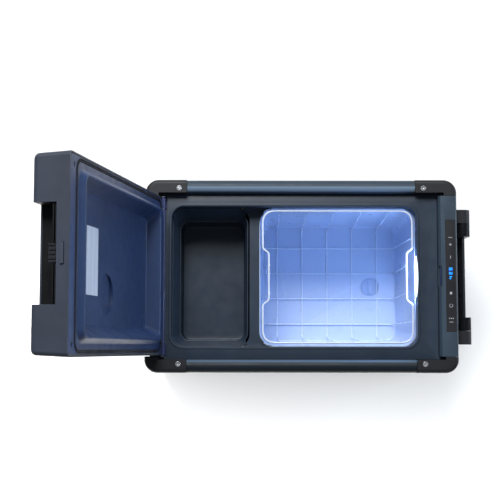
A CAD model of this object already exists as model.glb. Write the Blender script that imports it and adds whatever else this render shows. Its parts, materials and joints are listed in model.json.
"""Looks of the compressor cooler fridge: the lid stands open and the light strip in the main
compartment is lit. X runs along the cabinet from the hinge end to the control end, Y from front to back,
Z up. Blender works in metres; the sizes named here are millimetres, unless a comment says otherwise."""

import json
import math

import bmesh
import bpy
from mathutils import Matrix, Vector


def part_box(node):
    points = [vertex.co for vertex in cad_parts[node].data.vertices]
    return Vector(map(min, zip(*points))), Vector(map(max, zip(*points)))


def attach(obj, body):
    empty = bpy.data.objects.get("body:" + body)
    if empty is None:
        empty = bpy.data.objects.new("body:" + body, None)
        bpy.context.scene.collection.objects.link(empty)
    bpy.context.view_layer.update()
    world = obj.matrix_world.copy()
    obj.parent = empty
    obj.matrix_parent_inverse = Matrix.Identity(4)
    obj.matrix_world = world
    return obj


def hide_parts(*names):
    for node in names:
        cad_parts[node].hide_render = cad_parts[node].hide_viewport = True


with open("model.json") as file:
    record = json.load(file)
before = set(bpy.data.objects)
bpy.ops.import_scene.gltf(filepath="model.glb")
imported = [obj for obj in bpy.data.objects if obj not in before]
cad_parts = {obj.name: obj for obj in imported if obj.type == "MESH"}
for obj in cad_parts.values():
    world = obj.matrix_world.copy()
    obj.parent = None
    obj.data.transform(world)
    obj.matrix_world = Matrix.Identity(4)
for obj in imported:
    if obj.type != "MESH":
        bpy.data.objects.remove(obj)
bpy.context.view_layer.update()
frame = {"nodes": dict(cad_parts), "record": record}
NODES = frame["nodes"]
RECORD = frame["record"]
BODY_OF = {node: body for body, names in RECORD["behaviour"]["bodies"].items() for node in names}
SLOT_OF = {part["node"]: part["material_slot"] for part in RECORD["subparts"]}
JOINTS = {joint["name"]: joint for joint in RECORD["behaviour"]["joints"]}
MM = 0.001

# ---------------------------------------------------------------- sizes

RAIL_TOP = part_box("back_rail")[1].z / MM
DECK_Z = RAIL_TOP - 20
FLANGE_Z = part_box("top_deck")[0].z / MM
TUB_FLOOR = DECK_Z - 270
TRAY_FLOOR = DECK_Z - 130
TRAY_LEDGE = DECK_Z - 62
DIVIDER_Z = DECK_Z - 40
HINGE = Vector(JOINTS["lid_hinge"]["pos_m"])
LID_OPEN = math.radians(max(abs(limit) for limit in JOINTS["lid_hinge"]["range_deg"]))
LID_FRAME = Matrix.Translation(HINGE) @ Matrix.Rotation(-LID_OPEN, 4, "Y")
DRAIN = [value / MM for value in JOINTS["drain_turn"]["pos_m"][:2]]

CORNER_STEPS = 12
CURVE_STEPS = 5
BEND_STEPS = 6
SHARP = 32
LEAST_RADIUS = 0.05


# ---------------------------------------------------------------- materials

class Shader:
    """A small builder for one procedural material."""

    def __init__(self, name):
        self.material = bpy.data.materials.new(name)
        self.material.use_nodes = True
        self.tree = self.material.node_tree
        self.surface = self.tree.nodes["Principled BSDF"]
        self.place = self.tree.nodes.new("ShaderNodeTexCoord").outputs["Object"]

    def node(self, kind, links=(), **values):
        node = self.tree.nodes.new(kind)
        for key, value in values.items():
            setattr(node, key, value)
        for socket, source in dict(links).items():
            if isinstance(source, bpy.types.NodeSocket):
                self.tree.links.new(source, node.inputs[socket])
            else:
                node.inputs[socket].default_value = source
        return node

    def noise(self, scale, detail=3.0, stretch=(1, 1, 1), seed=0.0):
        moved = self.node("ShaderNodeMapping", {0: self.place, 1: (seed, seed, seed), 3: stretch})
        return self.node("ShaderNodeTexNoise", {"Vector": moved.outputs[0], "Scale": scale,
                                                "Detail": detail}).outputs["Fac"]

    def ranged(self, source, low, high, start=0.3, end=0.7):
        return self.node("ShaderNodeMapRange", {"Value": source, "From Min": start, "From Max": end,
                                                "To Min": low, "To Max": high}).outputs[0]

    def between(self, low, high, soft):
        """1 where the object's Y lies between two values, fading to 0 over twice the soft width."""
        across = self.node("ShaderNodeSeparateXYZ", {0: self.place}).outputs["Y"]
        middle = (low + high) / 2
        offset = self.node("ShaderNodeMath", {0: across, 1: middle}, operation="SUBTRACT").outputs[0]
        away = self.node("ShaderNodeMath", {0: offset}, operation="ABSOLUTE").outputs[0]
        half = (high - low) / 2
        return self.ranged(away, 1.0, 0.0, half - soft, half + soft)

    def mixed(self, factor, first, second):
        mix = self.node("ShaderNodeMix", data_type="RGBA")
        for socket, source in ((0, factor), (6, first), (7, second)):
            if isinstance(source, bpy.types.NodeSocket):
                self.tree.links.new(source, mix.inputs[socket])
            else:
                mix.inputs[socket].default_value = source
        return mix.outputs[2]

    def edges(self):
        """1 on convex edges, 0 on flat faces."""
        geometry = self.node("ShaderNodeNewGeometry")
        return self.ranged(geometry.outputs["Pointiness"], 0.0, 1.0, 0.52, 0.62)

    def bumped(self, *layers):
        """Layers of (height, strength, distance in metres), stacked into the normal."""
        normal = None
        for height, strength, distance in layers:
            links = {"Height": height, "Strength": strength, "Distance": distance}
            if normal is not None:
                links["Normal"] = normal
            normal = self.node("ShaderNodeBump", links).outputs[0]
        self.tree.links.new(normal, self.surface.inputs["Normal"])

    def set(self, **values):
        """Sets the shader's own sockets: a name with underscores stands for one with spaces."""
        for key, source in values.items():
            socket = self.surface.inputs[key.replace("_", " ")]
            if isinstance(source, bpy.types.NodeSocket):
                self.tree.links.new(source, socket)
            else:
                socket.default_value = source


def shade(colour, factor):
    return tuple(min(1.0, channel * factor) for channel in colour[:3]) + (1.0,)


def srgb(text):
    """A linear colour from an sRGB hex code."""
    values = [int(text[i:i + 2], 16) / 255 for i in (0, 2, 4)]
    return tuple(v / 12.92 if v <= 0.04045 else ((v + 0.055) / 1.055) ** 2.4 for v in values) + (1.0,)


def plastic(name, colour, rough=0.45, grain=1400, depth=0.00006, wear=0.35, mottle=0.10, sheen=0.5,
            band=None):
    """Moulded plastic: fine spark-eroded grain, faint cloudiness, scuffed edges.

    A band is a second colour and the two Y values, in millimetres, that it lies between."""
    s = Shader(name)
    cloud = s.noise(9, 4)
    tone = s.mixed(s.ranged(cloud, 0, 1), shade(colour, 1 - mottle), shade(colour, 1 + mottle))
    scuffs = s.noise(260, 5, seed=3.0)
    worn_edge = s.node("ShaderNodeMath", {0: s.edges(), 1: s.ranged(scuffs, 0.2, wear)}, operation="MULTIPLY")
    worn = s.mixed(worn_edge.outputs[0], tone, shade(colour, 2.2))
    if band:
        tint, low, high = band
        worn = s.mixed(s.between(low * MM, high * MM, 1.5 * MM), worn, tint)
    s.set(Base_Color=worn, Roughness=s.ranged(s.noise(42, 5, seed=7.0), rough - 0.06, rough + 0.07),
          Specular_IOR_Level=sheen)
    s.bumped((s.noise(grain, 2), 0.55, depth), (s.noise(18, 2, seed=5.0), 0.25, 0.0006))
    return s.material


def coated_wire():
    s = Shader("coated_wire")
    colour = srgb("e6f0ff")
    s.set(Base_Color=s.mixed(s.ranged(s.noise(60, 3), 0, 1), shade(colour, 0.93), colour),
          Roughness=s.ranged(s.noise(140, 3, seed=2.0), 0.2, 0.34), Coat_Weight=0.5, Coat_Roughness=0.12)
    s.bumped((s.noise(420, 2), 0.4, 0.00008))
    return s.material


def metal(name, colour, rough, brush=(1, 1, 1), metallic=1.0):
    s = Shader(name)
    lines = s.noise(300, 4, stretch=brush)
    s.set(Base_Color=s.mixed(s.ranged(lines, 0, 1), shade(colour, 0.85), shade(colour, 1.08)),
          Metallic=metallic,
          Roughness=s.ranged(s.noise(70, 4, seed=4.0), rough - 0.07, rough + 0.1))
    s.bumped((lines, 0.5, 0.00003))
    return s.material


def rubber(name, colour):
    s = Shader(name)
    dust = s.noise(35, 6)
    s.set(Base_Color=s.mixed(s.ranged(dust, 0, 0.5), colour, shade(colour, 2.4)),
          Roughness=s.ranged(dust, 0.62, 0.85), Specular_IOR_Level=0.3)
    s.bumped((s.noise(900, 3), 0.5, 0.00008))
    return s.material


def foam_material():
    s = Shader("cut_foam")
    colour = srgb("e8d9a8")
    cells = s.node("ShaderNodeTexVoronoi", {"Vector": s.place, "Scale": 420.0}).outputs["Distance"]
    s.set(Base_Color=s.mixed(s.ranged(cells, 0, 1, 0.1, 0.6), shade(colour, 0.7), colour), Roughness=0.95)
    s.bumped((cells, 0.7, 0.0008))
    return s.material


def glowing(name, colour, strength, banded=0.0):
    """A lit lens: its own colour shows through a faintly ribbed front."""
    s = Shader(name)
    rib = s.noise(90, 2, stretch=(1, 6, 1))
    s.set(Base_Color=s.mixed(s.ranged(rib, 0, banded), colour, shade(colour, 0.7)), Emission_Color=colour,
          Emission_Strength=strength, Roughness=0.2)
    s.bumped((rib, 0.3, 0.0002))
    return s.material


def glossy_panel():
    """Hard-coated lens of the touch panel: dark, smooth, with faint wipe marks."""
    s = Shader("panel_lens")
    colour = srgb("232327")
    wipes = s.noise(30, 5, stretch=(1, 0.25, 1))
    s.set(Base_Color=s.mixed(s.ranged(wipes, 0, 1), shade(colour, 0.92), shade(colour, 1.1)),
          Roughness=s.ranged(wipes, 0.3, 0.42), Coat_Weight=0.25, Coat_Roughness=0.2)
    s.bumped((s.noise(300, 2), 0.2, 0.00002))
    return s.material


def printed_label():
    """A blank foil label with the faint streaks of its backing."""
    s = Shader("label_foil")
    colour = srgb("dbe7fb")
    streaks = s.noise(170, 2, stretch=(1, 0.02, 1))
    s.set(Base_Color=s.mixed(s.ranged(streaks, 0, 1, 0.36, 0.52), shade(colour, 0.78), colour),
          Roughness=s.ranged(s.noise(40, 3, seed=1.0), 0.35, 0.5))
    s.bumped((s.noise(120, 2), 0.25, 0.0001))
    return s.material


LENS_WHITE = (0.72, 0.84, 1.0, 1.0)
LENS_STRENGTH = 1.5
LED_BLUE = (0.27, 0.44, 0.85)
LED_POWER = 0.62
MATERIALS = {
    "slate_plastic": plastic("slate_plastic", srgb("43515f"), rough=0.4, sheen=0.4),
    "charcoal_plastic": plastic("charcoal_plastic", srgb("1e1f24"), rough=0.5, grain=900, depth=0.0001,
                                sheen=0.35),
    "foot_rubber": rubber("foot_rubber", srgb("1b1b1d")),
    "screw_steel": metal("screw_steel", srgb("d5d8dd"), 0.22, metallic=0.8),
    "deck_plastic": plastic("deck_plastic", srgb("283443"), rough=0.4, depth=0.00004, wear=0.2, sheen=0.4),
    "liner_white": plastic("liner_white", srgb("bccde8"), rough=0.32, grain=700, depth=0.00003, wear=0.0,
                           mottle=0.025),
    "foam": foam_material(),
    "evaporator_aluminium": metal("evaporator_aluminium", srgb("cfd2d6"), 0.35, brush=(1, 1, 0.05)),
    "copper": metal("copper", srgb("c67b4f"), 0.3),
    "led_lens": glowing("led_lens", LENS_WHITE, LENS_STRENGTH, banded=0.3),
    "drain_white": plastic("drain_white", srgb("a4b8dc"), rough=0.4, wear=0.0, mottle=0.03),
    "panel_black": glossy_panel(),
    "display_cyan": glowing("display_cyan", srgb("1ea0ff"), 1.6),
    "icon_white": plastic("icon_white", srgb("a9afb8"), rough=0.4, wear=0.0, mottle=0.05),
    "bay_sheet": metal("bay_sheet", srgb("9aa0a6"), 0.4),
    "compressor_black": plastic("compressor_black", srgb("1d1f22"), rough=0.38, grain=500, depth=0.0001),
    "condenser_aluminium": metal("condenser_aluminium", srgb("b4b8bd"), 0.38, brush=(1, 1, 0.1)),
    "fan_plastic": plastic("fan_plastic", srgb("17181c"), rough=0.45),
    "board_case": plastic("board_case", srgb("24302a"), rough=0.5),
    "inlet_black": plastic("inlet_black", srgb("121316"), rough=0.4),
    "hinge_blue": plastic("hinge_blue", srgb("2b3560"), rough=0.38, wear=0.5),
    "lid_navy": plastic("lid_navy", srgb("2b3e64"), rough=0.42, depth=0.00004, wear=0.15, sheen=0.4),
    "seal_rubber": rubber("seal_rubber", srgb("14151b")),
    "label_paper": printed_label(),
    "dark_screw": metal("dark_screw", srgb("3a3b40"), 0.4),
    "latch_black": plastic("latch_black", srgb("0c0d11"), rough=0.45, wear=0.6, sheen=0.25),
    "latch_grey": plastic("latch_grey", srgb("1b1d23"), rough=0.42, sheen=0.35),
    "basket_wire": coated_wire(),
}
LID_SLATE = plastic("lid_slate", srgb("3a404d"), rough=0.44, sheen=0.35)
RAIL_DARK = plastic("control_rail_slate", srgb("34414e"), rough=0.36, sheen=0.4)
STRIKE_TINT = metal("strike_tint", srgb("3a4768"), 0.45)
HANDLE = plastic("handle_charcoal", srgb("141519"), rough=0.3, grain=900, depth=0.00005, wear=0.0,
                 sheen=0.12)
BACK_RAIL = plastic("back_rail_slate", srgb("36434f"), rough=0.46, sheen=0.2,
                    band=(srgb("74899f"), 173.5, 184))
FRONT_RAIL = plastic("front_rail_slate", srgb("1c242c"), rough=0.46, sheen=0.2,
                     band=(srgb("526578"), -176.5, -171))


# ---------------------------------------------------------------- mesh helpers

def finished(piece, nodes, material=None):
    """Names the CAD nodes that a piece stands for, and takes its body, slot and material from them."""
    slot = SLOT_OF[nodes[0]]
    piece.data.materials.clear()
    piece.data.materials.append(material or MATERIALS[slot])
    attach(piece, BODY_OF[nodes[0]])
    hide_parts(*nodes)
    return piece


def apply_modifiers(piece):
    graph = bpy.context.evaluated_depsgraph_get()
    mesh = bpy.data.meshes.new_from_object(piece.evaluated_get(graph))
    piece.modifiers.clear()
    piece.data = mesh
    return piece


def linked(name, mesh):
    piece = bpy.data.objects.new(name, mesh)
    bpy.context.scene.collection.objects.link(piece)
    return piece


def smoothed(mesh, angle=SHARP):
    """Smooth shading, with edges sharper than the angle kept crisp."""
    mesh.shade_smooth()
    mesh.set_sharp_from_angle(angle=math.radians(angle))


def bevel(piece, width, steps=3, angle=SHARP):
    """Rounds the edges sharper than the angle by a width in millimetres."""
    modifier = piece.modifiers.new("bevel", "BEVEL")
    modifier.width = width * MM
    modifier.segments = steps
    modifier.limit_method = "ANGLE"
    modifier.angle_limit = math.radians(angle)
    modifier.use_clamp_overlap = True
    modifier.miter_outer = "MITER_ARC"
    weighted(piece)


def weighted(piece):
    """Smooth shading in which large flat faces keep their own direction."""
    apply_modifiers(piece)
    smoothed(piece.data)
    modifier = piece.modifiers.new("normals", "WEIGHTED_NORMAL")
    modifier.keep_sharp = True
    modifier.weight = 100
    apply_modifiers(piece)


def shaped(node, width):
    """The CAD node's own shape with its coplanar facets joined and its edges rounded."""
    bm = bmesh.new()
    bm.from_mesh(NODES[node].data)
    bmesh.ops.remove_doubles(bm, verts=bm.verts, dist=0.01 * MM)
    bmesh.ops.dissolve_limit(bm, angle_limit=math.radians(0.6), verts=bm.verts, edges=bm.edges)
    piece = built(node + "_fine", bm)
    bevel(piece, width)
    return piece


def refined(node, width, material=None):
    return finished(shaped(node, width), [node], material=material)


def ring(x, y, radius, z):
    """Points of a rounded rectangle at one height, anticlockwise."""
    points = []
    corners = ((x[1] - radius, y[1] - radius), (x[0] + radius, y[1] - radius),
               (x[0] + radius, y[0] + radius), (x[1] - radius, y[0] + radius))
    for quarter, (cx, cy) in enumerate(corners):
        for step in range(CORNER_STEPS + 1):
            turn = math.pi / 2 * (quarter + step / CORNER_STEPS)
            points.append(Vector((cx + radius * math.cos(turn), cy + radius * math.sin(turn), z)))
    return points


def station(x, y, radius, z, soft=0.0):
    """One level of a loft: a rounded rectangle in millimetres, and how far its edge is softened."""
    return Vector((x[0], x[1], y[0], y[1], radius, z)) * MM, soft * MM


def softened(stations):
    """Rounds each station's edge with a parabola between points on the stretches before and after it."""
    levels = []
    for i, (level, soft) in enumerate(stations):
        if soft == 0 or i in (0, len(stations) - 1):
            levels.append(level)
            continue
        before = stations[i - 1][0] - level
        after = stations[i + 1][0] - level
        start = level + before * min(0.5, soft / before.length)
        end = level + after * min(0.5, soft / after.length)
        for step in range(CURVE_STEPS + 1):
            t = step / CURVE_STEPS
            levels.append(start * (1 - t) ** 2 + level * 2 * t * (1 - t) + end * t ** 2)
    return levels


def built(name, bm):
    """Turns a bmesh into a linked piece."""
    mesh = bpy.data.meshes.new(name)
    bm.to_mesh(mesh)
    bm.free()
    return linked(name, mesh)


def loft(name, stations, place=None, around=False):
    """A skin through the stations, in millimetres. Its two ends are capped or, for a tube that runs round
    the rectangle, the last level meets the first."""
    bm = bmesh.new()
    rows = []
    for level in softened(stations):
        points = ring((level[0], level[1]), (level[2], level[3]), max(level[4], LEAST_RADIUS * MM), level[5])
        rows.append([bm.verts.new(point) for point in points])
    count = len(rows[0])
    for lower, upper in zip(rows, rows[1:] + rows[:1] if around else rows[1:]):
        for i in range(count):
            j = (i + 1) % count
            bm.faces.new((lower[i], lower[j], upper[j], upper[i]))
    if not around:
        bm.faces.new(rows[0][::-1])
        bm.faces.new(rows[-1])
    bmesh.ops.recalc_face_normals(bm, faces=bm.faces)
    if place is not None:
        bmesh.ops.transform(bm, matrix=place, verts=bm.verts)
    piece = built(name, bm)
    smoothed(piece.data, 40)
    return piece


def block(name, x, y, z, place=None):
    bm = bmesh.new()
    bmesh.ops.create_cube(bm, size=1)
    size = Vector((x[1] - x[0], y[1] - y[0], z[1] - z[0])) * MM
    middle = Vector((x[0] + x[1], y[0] + y[1], z[0] + z[1])) * MM / 2
    matrix = Matrix.Translation(middle) @ Matrix.Diagonal((*size, 1))
    bmesh.ops.transform(bm, matrix=(place or Matrix()) @ matrix, verts=bm.verts)
    return built(name, bm)


def drum(name, centre, radius, z, steps=64, place=None):
    """An upright cylinder, in millimetres."""
    bm = bmesh.new()
    bmesh.ops.create_cone(bm, cap_ends=True, segments=steps, radius1=radius * MM, radius2=radius * MM,
                          depth=(z[1] - z[0]) * MM)
    middle = Vector((centre[0], centre[1], (z[0] + z[1]) / 2)) * MM
    bmesh.ops.transform(bm, matrix=(place or Matrix()) @ Matrix.Translation(middle), verts=bm.verts)
    return built(name, bm)


def bead(name, centre, radius):
    bm = bmesh.new()
    bmesh.ops.create_uvsphere(bm, u_segments=24, v_segments=12, radius=radius * MM)
    bmesh.ops.translate(bm, vec=Vector(centre) * MM, verts=bm.verts)
    return built(name, bm)


def boolean(piece, tool, operation="DIFFERENCE"):
    modifier = piece.modifiers.new("cut", "BOOLEAN")
    modifier.operation = operation
    modifier.solver = "EXACT"
    modifier.object = tool
    apply_modifiers(piece)
    mesh = tool.data
    bpy.data.objects.remove(tool)
    bpy.data.meshes.remove(mesh)


def rounded_path(points, radius, steps=BEND_STEPS):
    """A polyline in millimetres whose corners are turned into arcs of about that radius."""
    count = len(points)
    path = []
    for i, point in enumerate(points):
        point = Vector(point)
        if i in (0, count - 1):
            path.append(point * MM)
            continue
        before = Vector(points[i - 1]) - point
        after = Vector(points[i + 1]) - point
        half = (math.pi - before.angle(after)) / 2
        reach = min(radius * math.tan(half), 0.48 * before.length, 0.48 * after.length)
        start = point + before.normalized() * reach
        end = point + after.normalized() * reach
        for step in range(steps + 1):
            t = step / steps
            path.append((start * (1 - t) ** 2 + point * 2 * t * (1 - t) + end * t ** 2) * MM)
    return path


def wire(paths, radius, name, sides=14):
    """Round wires along the paths, joined into one mesh. Each path is (points, closed)."""
    bm = bmesh.new()
    for points, closed in paths:
        rows = []
        count = len(points)
        side = None
        for i, point in enumerate(points):
            if closed:
                along = (points[(i + 1) % count] - points[i - 1]).normalized()
            else:
                along = (points[min(i + 1, count - 1)] - points[max(i - 1, 0)]).normalized()
            if side is None:
                side = along.orthogonal().normalized()
            side = (side - along * side.dot(along)).normalized()
            other = along.cross(side)
            rows.append([bm.verts.new(point + (side * math.cos(a) + other * math.sin(a)) * radius * MM)
                         for a in (2 * math.pi * k / sides for k in range(sides))])
        pairs = list(zip(rows, rows[1:])) + ([(rows[-1], rows[0])] if closed else [])
        for lower, upper in pairs:
            for k in range(sides):
                m = (k + 1) % sides
                bm.faces.new((lower[k], lower[m], upper[m], upper[k]))
        if not closed:
            bm.faces.new(rows[0][::-1])
            bm.faces.new(rows[-1])
    bmesh.ops.recalc_face_normals(bm, faces=bm.faces)
    piece = built(name, bm)
    smoothed(piece.data, 50)
    return piece


def paint(*nodes):
    """Gives CAD nodes whose shape is right their own slot's material."""
    for node in nodes:
        for place in NODES[node].material_slots:
            place.material = MATERIALS[SLOT_OF[node]]


def both(value):
    return (-value, value)


def grown(span, by):
    return (span[0] - by, span[1] + by)


# ---------------------------------------------------------------- cabinet

for node in NODES:
    paint(node)

ROUNDED = {
    "hinge_end_rail": 1.5, "guard_front_left": 1.2, "guard_front_right": 1.2, "guard_back_left": 1.2,
    "guard_back_right": 1.2, "lower_guards": 1.2, "feet": 1.0, "guard_screws": 0.35, "foot_screws": 0.3,
    "control_panel": 0.8, "dc_inlet": 0.7, "ac_inlet": 0.7, "hinge_knuckles": 0.6,
    "lid_hinge_barrel": 0.6, "drain_plug": 0.7, "handle_brackets": 2.0, "latch_housing": 0.5,
}
for node, width in ROUNDED.items():
    refined(node, width)
refined("control_end_rail", 0.8, RAIL_DARK)
refined("handle_right", 2, HANDLE)
refined("handle_left", 2, HANDLE)
refined("back_rail", 0.8, BACK_RAIL)
refined("front_rail", 0.8, FRONT_RAIL)
refined("strike_plate", 0.3, STRIKE_TINT)

OPEN_X = (-267, 239)
OPEN_Y = both(144.5)
OPEN_R = 25
DECK_X = (-277, 281.5)
DECK_Y = both(170.5)
RAIL_Z0 = 364
PAD_Y = (164.9, 170.5)
PAD_END = 292.6
LAMP_X = (238.6, 241.6)
LAMP_Y = 54.5


def lamp_form(name, grow, z):
    """Plan of the lamp: straight towards the compartment, bowed towards the control end."""
    bow = 305
    piece = drum(name, (LAMP_X[1] - bow, 0), bow + grow, z, 720)
    boolean(piece, block("lamp_front", (LAMP_X[0] - grow, LAMP_X[1] + 5), both(LAMP_Y + grow), grown(z, 1)),
            "INTERSECT")
    return piece


def lamp():
    piece = lamp_form("led_lamp_fine", 0, (DECK_Z - 15, DECK_Z - 2.1))
    bevel(piece, 0.5)
    finished(piece, ["led_lamp"])


def deck():
    """Deck plate, its raised lip and the short flange that drops into the opening."""
    def level(grow, z, soft=0.0):
        return station(grown(OPEN_X, grow), grown(OPEN_Y, grow), OPEN_R + grow, z, soft)
    piece = loft("top_deck_fine", [
        station(DECK_X, DECK_Y, 1, RAIL_Z0),
        station(DECK_X, DECK_Y, 1, DECK_Z, 0.6),
        level(6, DECK_Z, 1.2),
        level(4.4, DECK_Z + 1, 0.9),
        level(0.2, DECK_Z + 1, 1.6),
        level(0, FLANGE_Z),
        level(2.5, FLANGE_Z),
        level(2.5, RAIL_Z0),
    ], around=True)
    boolean(piece, lamp_form("lamp_slot", 0.3, (DECK_Z - 24, DECK_Z + 3)))
    for side in (-1, 1):
        y = sorted(side * edge for edge in PAD_Y)
        boolean(piece, block("corner_pad", (DECK_X[1] - 1, PAD_END), y, (RAIL_Z0, DECK_Z)), "UNION")
    smoothed(piece.data, 40)
    finished(piece, ["top_deck"])


def tub():
    """Main compartment liner: sloping walls, round foot, drain recess and an embossed circle."""
    top_x, top_y, low_x, low_y = (-84.5, 238), both(143), (-78, 231), both(134)
    wall, foot, corner = 2.5, 12, 28

    def level(grow, z, soft=0.0):
        down = (FLANGE_Z - z) / (FLANGE_Z - TUB_FLOOR)
        x = [a + (b - a) * down for a, b in zip(top_x, low_x)]
        y = [a + (b - a) * down for a, b in zip(top_y, low_y)]
        return station(grown(x, grow), grown(y, grow), max(corner + grow, 4), z, soft)
    piece = loft("liner_tub_fine", [
        level(wall - foot, TUB_FLOOR - wall),
        level(wall, TUB_FLOOR - wall, foot),
        level(wall, FLANGE_Z, 0.6),
        level(0, FLANGE_Z, 0.6),
        level(0, TUB_FLOOR, foot),
        level(-foot - 4, TUB_FLOOR),
    ])
    boolean(piece, drum("boss", DRAIN, 26, (TUB_FLOOR - 8, TUB_FLOOR - 2)), "UNION")
    boolean(piece, drum("recess", DRAIN, 21.5, (TUB_FLOOR - 4, TUB_FLOOR + 6)))
    boolean(piece, drum("bore", DRAIN, 15, (TUB_FLOOR - 20, TUB_FLOOR + 10)))
    boolean(piece, block("sill", (-90, -76.5), both(138), (DIVIDER_Z - 2.7, FLANGE_Z + 1)))
    mark_at, mark_r, line = (13, -50), 40.2, 2
    mark = drum("mark", mark_at, mark_r, (TUB_FLOOR - 0.8, TUB_FLOOR + 1))
    boolean(mark, drum("mark_core", mark_at, mark_r - line, (TUB_FLOOR - 1, TUB_FLOOR + 2)))
    boolean(piece, mark)
    bevel(piece, 0.5, 2, 50)
    finished(piece, ["liner_tub"])


def tray():
    """Small compartment over the compressor, with its ledge, and the divider with its flat top."""
    top_x, top_y = (-265, -106.8), both(142.5)
    ledge_x, ledge_y = (-253, -116.3), (-133, 121)
    pit_x, pit_y = (-251.5, -112), (-131.5, 119.5)
    floor_x, floor_y = (-250.4, -116.3), (-130.4, 117)
    piece = loft("side_tray_fine", [
        station(grown(floor_x, -8), grown(floor_y, -8), 10, TRAY_FLOOR - 2.5),
        station(grown(floor_x, 1.5), grown(floor_y, 1.5), 20, TRAY_FLOOR - 2.5, 8),
        station(grown(top_x, 2.4), grown(top_y, 2.4), 24, FLANGE_Z, 0.6),
        station(top_x, top_y, 22, FLANGE_Z, 0.6),
        station(ledge_x, ledge_y, 20, TRAY_LEDGE, 3),
        station(pit_x, pit_y, 19, TRAY_LEDGE - 0.4, 1.2),
        station(floor_x, floor_y, 17, TRAY_FLOOR, 6),
        station(grown(floor_x, -12), grown(floor_y, -12), 8, TRAY_FLOOR),
    ])
    boolean(piece, block("gap", (-114, -60), (-137.5, 136.5), (DIVIDER_Z, FLANGE_Z + 1)))
    return piece


def divider():
    """Bridge between the compartments: flat on top, flaring into the corners beside both round openings."""
    piece = block("divider_top", (-118.3, -60.5), both(144.2), (DIVIDER_Z - 4, FLANGE_Z))
    boolean(piece, block("divider_way", (-130, -50), both(142.2), (DIVIDER_Z, FLANGE_Z + 5)))
    for name, x, y, radius in (("tray_side", (-263, -109.3), (-139.5, 135.5), 24),
                               ("tub_side", (-85.6, 237), both(142), 29)):
        boolean(piece, loft(name, [station(x, y, radius, DIVIDER_Z - 9),
                                   station(x, y, radius, FLANGE_Z + 5)]))
    bevel(piece, 1.2)
    piece.data.materials.append(MATERIALS["deck_plastic"])
    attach(piece, "cabinet")


deck()
lamp()
tub()
finished(tray(), ["side_tray"])
divider()

# ---------------------------------------------------------------- basket

RIM_X = (-78.6, 231.4)
RIM_Y = 136.5
RIM_Z = (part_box("basket_rim")[0].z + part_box("basket_rim")[1].z) / 2 / MM
GRIP_IN = 12.5
GRIP_Y = (49, 58)
FLOOR_X = (-70.5, 223.5)
FLOOR_Y = 123
WIRE = 1.2
RIM_WIRE = 1.8
WIRE_BEND = 11
CROSS_X = [-43 + 57.3 * i for i in range(5)]
LONG_Y = [-93 + 58 * i for i in range(4)]
CROSS_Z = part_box("basket_cross_wires")[0].z / MM + WIRE + 0.15
LONG_Z = CROSS_Z + 2 * WIRE + 0.2


def basket():
    rim = [(RIM_X[1], -RIM_Y), (RIM_X[1], -GRIP_Y[1]), (RIM_X[1] - GRIP_IN, -GRIP_Y[0]),
           (RIM_X[1] - GRIP_IN, GRIP_Y[0]), (RIM_X[1], GRIP_Y[1]), (RIM_X[1], RIM_Y),
           (RIM_X[0], RIM_Y), (RIM_X[0], GRIP_Y[1]), (RIM_X[0] + GRIP_IN, GRIP_Y[0]),
           (RIM_X[0] + GRIP_IN, -GRIP_Y[0]), (RIM_X[0], -GRIP_Y[1]), (RIM_X[0], -RIM_Y)]
    path = []
    for i, (x, y) in enumerate(rim):
        corner = abs(y) == RIM_Y
        part = rounded_path([(*rim[i - 1], RIM_Z), (x, y, RIM_Z), (*rim[(i + 1) % len(rim)], RIM_Z)],
                            26 if corner else 9, steps=10)
        path += part[1:-1]
    piece = wire([(path, True)], RIM_WIRE, "basket_rim_fine", 18)
    for x in (RIM_X[0] + GRIP_IN, RIM_X[1] - GRIP_IN):
        for y in (-35, 23):
            inward = 1.3 if x < 0 else -1.3
            boolean(piece, bead("weld", (x + inward, y, RIM_Z), 2.1), "UNION")
    smoothed(piece.data, 50)
    finished(piece, ["basket_rim"])
    top = RIM_Z - 1.6
    cross = []
    for x in CROSS_X:
        cross.append((rounded_path([(x, -RIM_Y, top), (x, -FLOOR_Y, CROSS_Z), (x, FLOOR_Y, CROSS_Z),
                                    (x, RIM_Y, top)], WIRE_BEND), False))
    finished(wire(cross, WIRE, "basket_cross_wires_fine"), ["basket_cross_wires"])
    long = []
    for y in LONG_Y:
        inset = GRIP_IN if abs(y) < GRIP_Y[0] else 0
        long.append((rounded_path([(RIM_X[0] + inset, y, top), (FLOOR_X[0], y, LONG_Z),
                                   (FLOOR_X[1], y, LONG_Z), (RIM_X[1] - inset, y, top)], WIRE_BEND), False))
    finished(wire(long, WIRE, "basket_long_wires_fine"), ["basket_long_wires"])


basket()

# ---------------------------------------------------------------- lid

LID_W = (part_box("lid_shell")[1].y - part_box("lid_shell")[0].y) / MM
LID_LEN = 563.7
LID_T = 62


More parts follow.
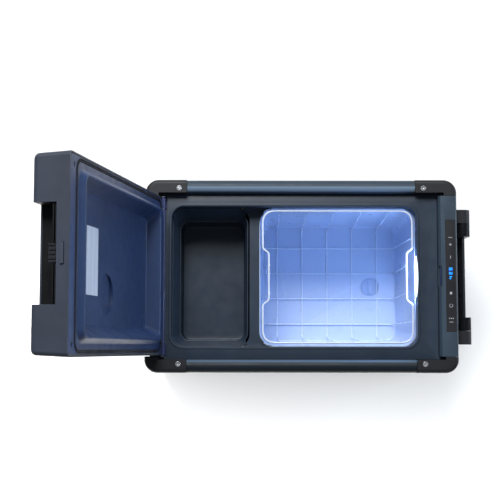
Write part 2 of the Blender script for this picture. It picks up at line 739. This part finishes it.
def lid_liner():
    """Inner face: rim, seal groove, raised moulding and the recessed panel with its finger dish."""
    def level(x, y, radius, z, soft=0.0):
        return station(x, both(y), radius, z, soft)
    piece = loft("lid_liner_fine", [
        level((60, 504), 122, 12, 21),
        level((52, 512), 130, 16, 21, 2),
        level((52, 512), 130, 16, 2.9),
        level((9.3, LID_LEN - 3.3), 158.2, 6, 2.9),
        level((9.3, LID_LEN - 3.3), 158.2, 6, 0, 0.5),
        level((10.9, 535.1), 157.1, 24, 0, 0.3),
        level((11.1, 534.9), 156.9, 23.8, 1.5),
        level((17, 529), 151, 18, 1.5),
        level((17.2, 528.8), 150.8, 17.8, 0, 0.3),
        level((23, 522), 140, 22, 0, 3),
        level((31, 515), 133, 18, -10, 5),
        level((51, 511), 128, 15, -10, 6),
        level((62, 492), 112, 12, 18, 5),
        level((80, 474), 94, 6, 18),
    ], LID_FRAME)
    dish_r, dish_depth = 37, 6
    dish_at = (315, -53.5)
    boss = drum("dish_boss", dish_at, dish_r + 3, (20, 20 + dish_depth), 96, LID_FRAME)
    boolean(piece, boss, "UNION")
    cut = drum("dish", dish_at, dish_r, (17, 18 + dish_depth), 96, LID_FRAME)
    tilt = math.atan(dish_depth / (2 * dish_r))
    far_edge = Matrix.Translation(Vector((dish_at[0] + dish_r, dish_at[1], 18)) * MM)
    slope = LID_FRAME @ far_edge @ Matrix.Rotation(tilt, 4, "Y")
    boolean(cut, block("dish_floor", (-3 * dish_r, dish_r), both(2 * dish_r), (0, 3 * dish_depth), slope))
    boolean(piece, cut)
    for side in (-1, 1):
        boolean(piece, drum("screw_well", (545, side * 142), 4.2, (-1, 2.95), 32, LID_FRAME))
    smoothed(piece.data, 30)
    finished(piece, ["lid_liner"])


def lid_shell():
    """Outer cover with softened edges, hollow behind, cut for the latch."""
    w = LID_W / 2
    piece = loft("lid_shell_fine", [
        station((20, 550), both(148), 4, LID_T - 3.2),
        station((9.2, LID_LEN - 3.2), both(w - 3.2), 5, LID_T - 4, 3),
        station((9.2, LID_LEN - 3.2), both(w - 3.2), 5, 0),
        station((6, LID_LEN), both(w), 8, 0, 0.6),
        station((8, LID_LEN - 1.5), both(w - 2.6), 8, LID_T - 6, 3),
        station((11, LID_LEN - 4.5), both(w - 5.6), 8, LID_T, 3.5),
        station((40, LID_LEN - 40), both(w - 40), 4, LID_T),
    ], LID_FRAME)
    boolean(piece, block("notch", (LID_LEN - 38, LID_LEN + 5), both(80.5), (21.5, LID_T + 5), LID_FRAME))
    boolean(piece, block("nose_hole", (LID_LEN - 8, LID_LEN + 1), both(17.5), (8.1, 14.6), LID_FRAME))
    bevel(piece, 0.5, 2, 50)
    finished(piece, ["lid_shell"], material=LID_SLATE)


def gasket():
    """Soft seal with two low ribs."""
    def level(inset, z, soft=0.0):
        return station((11 + inset, 535 - inset), both(157 - inset), 24 - inset, z, soft)
    piece = loft("lid_gasket_fine", [
        level(0.2, 1.4), level(0.2, -0.6, 0.5), level(1.2, -1.0, 0.4), level(2.2, -0.5, 0.3),
        level(3.0, 0.1, 0.3), level(3.8, -0.5, 0.3), level(4.8, -1.0, 0.4), level(5.8, -0.6, 0.5),
        level(5.8, 1.4),
    ], LID_FRAME, around=True)
    finished(piece, ["lid_gasket"])


def latch():
    """The press button in the notch and, in the lid's own colour, the nose that it carries."""
    reach = ((LID_LEN - 8, LID_LEN + 5), both(18), (8, 15))
    button = shaped("latch_slider", 0.7)
    boolean(button, block("nose_side", *reach, LID_FRAME))
    weighted(button)
    finished(button, ["latch_slider"])
    nose = shaped("latch_slider", 0.7)
    nose.name = "latch_nose"
    boolean(nose, block("button_side", *reach, LID_FRAME), "INTERSECT")
    weighted(nose)
    finished(nose, ["latch_slider"], material=LID_SLATE)


lid_liner()
lid_shell()
latch()
gasket()

# ---------------------------------------------------------------- display

STROKES = {"2": "abged", "4": "fgbc", "6": "afgedc"}
FIGURES = "426"
DIGIT_W, DIGIT_H, STROKE = 5.2, 6.4, 1.0
DIGIT_PITCH = 9
BAR_GAP = 0.15


def digit(figure, centre):
    """Blocks of one seven-bar figure, upright for someone at the control end: its top points to -X."""
    w, h, s = DIGIT_W / 2, DIGIT_H / 2, STROKE
    bars = {"a": (-w, w, h - s, h), "d": (-w, w, -h, s - h), "g": (-w, w, -s / 2, s / 2),
            "f": (-w, s - w, 0, h), "b": (w - s, w, 0, h), "e": (-w, s - w, -h, 0), "c": (w - s, w, -h, 0)}
    for bar in STROKES[figure]:
        left, right, low, high = bars[bar]
        yield (centre[0] - high, centre[0] - low), (centre[1] + left, centre[1] + right)


def display():
    low, high = (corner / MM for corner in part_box("panel_display"))
    middle = (low + high) / 2
    window = block("display_window", (low.x, high.x), (low.y, high.y), (low.z, high.z - 0.4))
    window.data.materials.append(MATERIALS["panel_black"])
    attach(window, "cabinet")
    bm = bmesh.new()
    for i, figure in enumerate(FIGURES):
        for x, y in digit(figure, (middle.x, middle.y + (i - 1) * DIGIT_PITCH)):
            size = Vector((x[1] - x[0] - BAR_GAP, y[1] - y[0] - BAR_GAP, 0.4)) * MM
            place = Vector((sum(x) / 2, sum(y) / 2, high.z - 0.25)) * MM
            matrix = Matrix.Translation(place) @ Matrix.Diagonal((*size, 1))
            bmesh.ops.create_cube(bm, size=1, matrix=matrix)
    finished(built("display_figures", bm), ["panel_display"])


display()

# ---------------------------------------------------------------- floor, light, camera

BACKDROP = srgb("fdfdfd")


def floor():
    bm = bmesh.new()
    bmesh.ops.create_grid(bm, x_segments=1, y_segments=1, size=12)
    piece = built("floor", bm)
    s = Shader("floor_paper")
    s.set(Base_Color=BACKDROP, Roughness=0.9, Specular_IOR_Level=0.1)
    piece.data.materials.append(s.material)


def area_light(name, place, target, size, power, colour=(1, 1, 1)):
    """A rectangular light that faces its target. Places and sizes are in metres, the power in watts."""
    data = bpy.data.lights.new(name, "AREA")
    data.shape = "RECTANGLE"
    data.size, data.size_y = size
    data.energy = power
    data.color = colour
    light = bpy.data.objects.new(name, data)
    bpy.context.scene.collection.objects.link(light)
    light.location = place
    light.rotation_euler = (Vector(target) - Vector(place)).to_track_quat("-Z", "Y").to_euler()
    light.visible_camera = False


def lighting():
    world = bpy.data.worlds.new("studio")
    bpy.context.scene.world = world
    world.use_nodes = True
    background = world.node_tree.nodes["Background"]
    background.inputs["Color"].default_value = (0.9, 0.95, 1.0, 1.0)
    background.inputs["Strength"].default_value = 0.13
    area_light("key", (-0.45, 2.0, 3.0), (0, 0, 0.3), (1.6, 1.2), 126)
    area_light("front_strip", (0, -2.4, 2.5), (0, 0, 0.3), (2.6, 0.5), 4)
    area_light("right_fill", (2.4, 0.5, 0.95), (-0.3, 0, 0.6), (1.0, 0.7), 16, (0.75, 0.86, 1.0))
    area_light("floor_front", (0.1, -0.8, 0.33), (0.1, -0.8, 0), (1.9, 0.8), 11)
    area_light("floor_right", (0.85, 0, 0.33), (0.85, 0, 0), (0.6, 1.2), 0.2)
    area_light("floor_left", (-0.75, -0.35, 0.33), (-0.75, -0.35, 0), (0.6, 0.9), 3)


def lamp_light():
    """The lamp's own light, cast from just in front of its lens into the compartment."""
    x, z = (LAMP_X[0] - 1) * MM, (DECK_Z - 12) * MM
    size = (2 * (LAMP_Y - 4) * MM, 16 * MM)
    area_light("lamp_light", (x, 0, z), (x - 1, 0, z - 0.35), size, LED_POWER, LED_BLUE)


# The camera's place is in metres; its turn and lens come from the cabinet's outline in the photo
CAMERA_AT = (-0.1049, -0.1483, RAIL_TOP * MM + 2.2382)
CAMERA_TURN = (math.radians(5.12), 0, math.radians(0.06))
LENS = 79.06


def camera():
    data = bpy.data.cameras.new("camera")
    data.sensor_width = 36
    data.lens = LENS
    view = bpy.data.objects.new("camera", data)
    bpy.context.scene.collection.objects.link(view)
    view.location = CAMERA_AT
    view.rotation_euler = CAMERA_TURN
    bpy.context.scene.camera = view


floor()
lighting()
lamp_light()
camera()
bpy.context.scene.view_settings.view_transform = "Standard"
